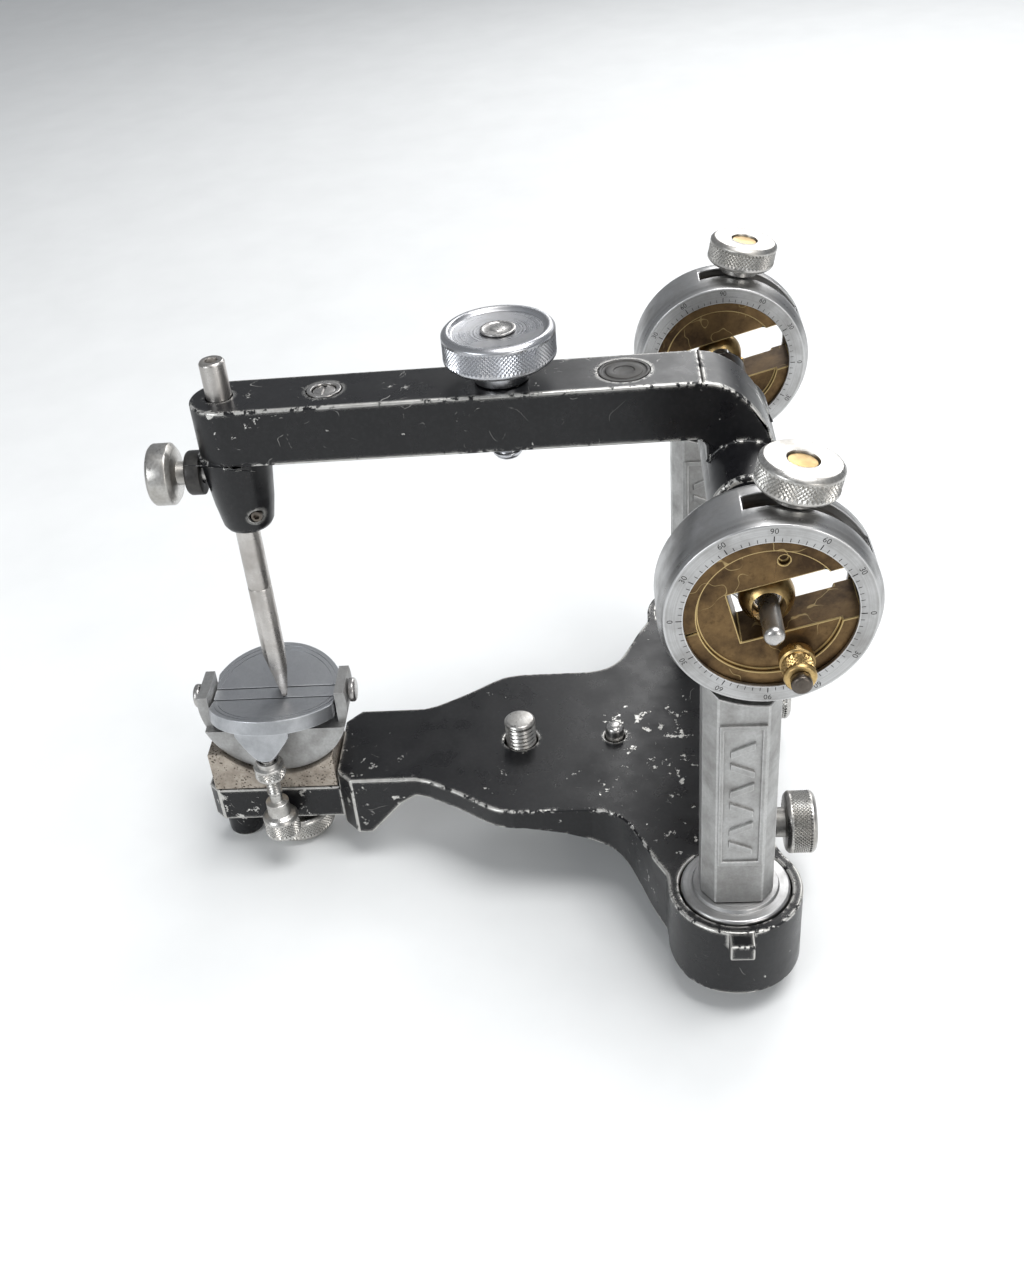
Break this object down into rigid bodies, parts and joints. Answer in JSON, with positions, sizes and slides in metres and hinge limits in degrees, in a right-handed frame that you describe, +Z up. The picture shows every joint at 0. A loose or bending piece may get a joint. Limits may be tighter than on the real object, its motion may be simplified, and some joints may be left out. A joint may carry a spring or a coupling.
{
  "type": "dental articulator",
  "caption": "Metal jaw simulator: a hinged upper arm with incisal pin rides on condylar tracks over a lower frame with an adjustable incisal guide table.",
  "frame": {"origin": "middle of the overall length and width, on the plane the feet stand on", "axes": "+Z up, -Y to the front (incisal pin), +Y to the condylar housings, +X to the right-hand housing"},
  "size_m": [0.152, 0.164, 0.1448],
  "materials": {
    "black_paint": "satin black enamel, chipped and worn to bright metal on the edges",
    "dark_rubber": "matt black",
    "steel": "brushed",
    "nickel_knurl": "diamond knurled, nickel bright",
    "pitted_metal": "pitted, beige grey",
    "cast_metal": "tumbled satin",
    "grey_table": "satin, polished by the pin",
    "dark_brass": "brown patina, bright where rubbed",
    "bright_brass": "worn bright",
    "dark_steel": "dark oxide",
    "black_trim": "gloss black"
  },
  "bodies": {
    "base": {"lower_frame": "black_paint", "rear_foot_right": "dark_rubber", "rear_foot_left": "dark_rubber", "locating_dowel": "steel", "guide_block": "pitted_metal"},
    "lower_mounting_screw": {"lower_mounting_screw": "nickel_knurl"},
    "guide_clamp_screw": {"guide_clamp_screw": "nickel_knurl"},
    "guide_table": {"guide_cradle": "cast_metal", "table_strip": "grey_table", "front_pivot_screw": "steel", "rear_pivot_screw": "steel"},
    "axle": {"condylar_axle": "steel"},
    "upper_member": {"upper_frame": "black_paint", "arm_insert_ring": "steel", "arm_insert_screw": "steel", "arm_badge": "black_trim", "boss_set_screw": "dark_steel", "pin_clamp_collar": "black_trim"},
    "upper_mounting_screw": {"upper_mounting_screw": "nickel_knurl", "upper_mounting_cap": "steel"},
    "incisal_pin": {"incisal_pin": "steel"},
    "pin_clamp_screw": {"pin_clamp_screw": "nickel_knurl"},
    "post_lock_screw_right": {"post_lock_screw_right": "nickel_knurl"},
    "wing_right": {"table_wing_right": "grey_table"},
    "wing_screw_right": {"wing_screw_right": "nickel_knurl"},
    "wing_nut_right": {"wing_lock_nut_right": "nickel_knurl"},
    "post_right": {"turntable_right": "cast_metal", "post_right": "cast_metal", "track_housing_right": "cast_metal"},
    "disc_right": {"guide_disc_right": "dark_brass"},
    "track_nut_right": {"track_nut_right": "nickel_knurl", "track_nut_core_right": "bright_brass"},
    "centric_lock_right": {"centric_lock_right": "bright_brass", "centric_lock_tip_right": "dark_steel"},
    "post_lock_screw_left": {"post_lock_screw_left": "nickel_knurl"},
    "wing_left": {"table_wing_left": "grey_table"},
    "wing_screw_left": {"wing_screw_left": "nickel_knurl"},
    "wing_nut_left": {"wing_lock_nut_left": "nickel_knurl"},
    "post_left": {"turntable_left": "cast_metal", "post_left": "cast_metal", "track_housing_left": "cast_metal"},
    "disc_left": {"guide_disc_left": "dark_brass"},
    "track_nut_left": {"track_nut_left": "nickel_knurl", "track_nut_core_left": "bright_brass"},
    "centric_lock_left": {"centric_lock_left": "bright_brass", "centric_lock_tip_left": "dark_steel"},
    "ball_right": {"condyle_ball_right": "bright_brass"},
    "bush_right": {"ball_bush_right": "steel"},
    "ball_left": {"condyle_ball_left": "bright_brass", "ball_bush_left": "steel"}
  },
  "joints": [
    {"name": "bennett_yaw_right", "type": "hinge", "parent": "base", "child": "post_right", "pos_m": [0.0565, 0.0555, 0.028], "axis": [0, 0, 1], "range_deg": [-10, 10]},
    {"name": "bennett_yaw_left", "type": "hinge", "parent": "base", "child": "post_left", "pos_m": [-0.0565, 0.0555, 0.028], "axis": [0, 0, -1], "range_deg": [-10, 10]},
    {"name": "track_pitch_right", "type": "hinge", "parent": "post_right", "child": "disc_right", "pos_m": [0.0565, 0.06, 0.109], "axis": [1, 0, 0], "range_deg": [-15, 17]},
    {"name": "track_pitch_left", "type": "hinge", "parent": "post_left", "child": "disc_left", "pos_m": [-0.0565, 0.06, 0.109], "axis": [1, 0, 0], "range_deg": [-15, 17]},
    {"name": "protrusion_right", "type": "slide", "parent": "disc_right", "child": "ball_right", "axis": [0, 0.9659, 0.2588], "range_m": [0, 0.005]},
    {"name": "protrusion_left", "type": "slide", "parent": "disc_left", "child": "ball_left", "axis": [0, 0.9659, 0.2588], "range_m": [0, 0.005]},
    {"name": "bush_turn", "type": "hinge", "parent": "ball_right", "child": "bush_right", "pos_m": [0.0565, 0.06, 0.109], "axis": [1, 0, 0], "range_deg": [-17, 15]},
    {"name": "axle_turn", "type": "hinge", "parent": "bush_right", "child": "axle", "pos_m": [0.0565, 0.0555, 0.109], "axis": [0, 0, 1], "range_deg": [-10, 10]},
    {"name": "jaw_opening", "type": "hinge", "parent": "axle", "child": "upper_member", "pos_m": [0, 0.06, 0.109], "axis": [-1, 0, 0], "range_deg": [0, 100]},
    {"name": "pin_height", "type": "slide", "parent": "upper_member", "child": "incisal_pin", "axis": [0, 0, 1], "range_m": [0, 0.02]},
    {"name": "table_tilt", "type": "hinge", "parent": "base", "child": "guide_table", "pos_m": [0, -0.06, 0.047], "axis": [1, 0, 0], "range_deg": [-12, 12]},
    {"name": "wing_tilt_right", "type": "hinge", "parent": "guide_table", "child": "wing_right", "pos_m": [0.0026, -0.06, 0.0467], "axis": [0, -1, 0], "range_deg": [-8, 10]},
    {"name": "wing_screw_lift_right", "type": "slide", "parent": "guide_table", "child": "wing_screw_right", "axis": [0, 0, 1], "range_m": [-0.0016, 0.002]},
    {"name": "wing_nut_turn_right", "type": "hinge", "parent": "wing_screw_right", "child": "wing_nut_right", "pos_m": [0.015, -0.0615, 0.033], "axis": [0, 0, 1], "continuous": true},
    {"name": "track_nut_turn_right", "type": "hinge", "parent": "disc_right", "child": "track_nut_right", "pos_m": [0.0565, 0.06, 0.109], "axis": [0, 0.1908, 0.9816], "continuous": true},
    {"name": "centric_lock_turn_right", "type": "hinge", "parent": "disc_right", "child": "centric_lock_right", "pos_m": [0.066, 0.0654, 0.0985], "axis": [1, 0, 0], "continuous": true},
    {"name": "post_lock_turn_right", "type": "hinge", "parent": "base", "child": "post_lock_screw_right", "pos_m": [0.027, 0.074, 0.02], "axis": [0, 1, 0], "continuous": true},
    {"name": "wing_tilt_left", "type": "hinge", "parent": "guide_table", "child": "wing_left", "pos_m": [-0.0026, -0.06, 0.0467], "axis": [0, 1, 0], "range_deg": [-8, 10]},
    {"name": "wing_screw_lift_left", "type": "slide", "parent": "guide_table", "child": "wing_screw_left", "axis": [0, 0, 1], "range_m": [-0.0016, 0.002]},
    {"name": "wing_nut_turn_left", "type": "hinge", "parent": "wing_screw_left", "child": "wing_nut_left", "pos_m": [-0.015, -0.0615, 0.033], "axis": [0, 0, 1], "continuous": true},
    {"name": "track_nut_turn_left", "type": "hinge", "parent": "disc_left", "child": "track_nut_left", "pos_m": [-0.0565, 0.06, 0.109], "axis": [0, 0.1908, 0.9816], "continuous": true},
    {"name": "centric_lock_turn_left", "type": "hinge", "parent": "disc_left", "child": "centric_lock_left", "pos_m": [-0.066, 0.0654, 0.0985], "axis": [-1, 0, 0], "continuous": true},
    {"name": "post_lock_turn_left", "type": "hinge", "parent": "base", "child": "post_lock_screw_left", "pos_m": [-0.027, 0.074, 0.02], "axis": [0, 1, 0], "continuous": true},
    {"name": "lower_screw_turn", "type": "hinge", "parent": "base", "child": "lower_mounting_screw", "pos_m": [0, 0.004, 0.01], "axis": [0, 0, 1], "continuous": true},
    {"name": "guide_clamp_turn", "type": "hinge", "parent": "base", "child": "guide_clamp_screw", "pos_m": [0, -0.0605, 0.005], "axis": [0, 0, 1], "continuous": true},
    {"name": "upper_screw_turn", "type": "hinge", "parent": "upper_member", "child": "upper_mounting_screw", "pos_m": [0, 0.007, 0.14], "axis": [0, 0, 1], "continuous": true},
    {"name": "pin_clamp_turn", "type": "hinge", "parent": "upper_member", "child": "pin_clamp_screw", "pos_m": [0, -0.073, 0.1135], "axis": [0, -1, 0], "continuous": true}
  ],
  "couplings": [
    {"joint": "track_pitch_left", "follows": "track_pitch_right", "ratio": 1},
    {"joint": "bush_turn", "follows": "track_pitch_right", "ratio": -1},
    {"joint": "protrusion_left", "follows": "protrusion_right", "ratio": 1},
    {"joint": "axle_turn", "follows": "bennett_yaw_right", "ratio": -1},
    {"joint": "wing_tilt_right", "follows": "wing_screw_lift_right", "rad_per_m": 87.266},
    {"joint": "wing_tilt_left", "follows": "wing_screw_lift_left", "rad_per_m": 87.266}
  ]
}
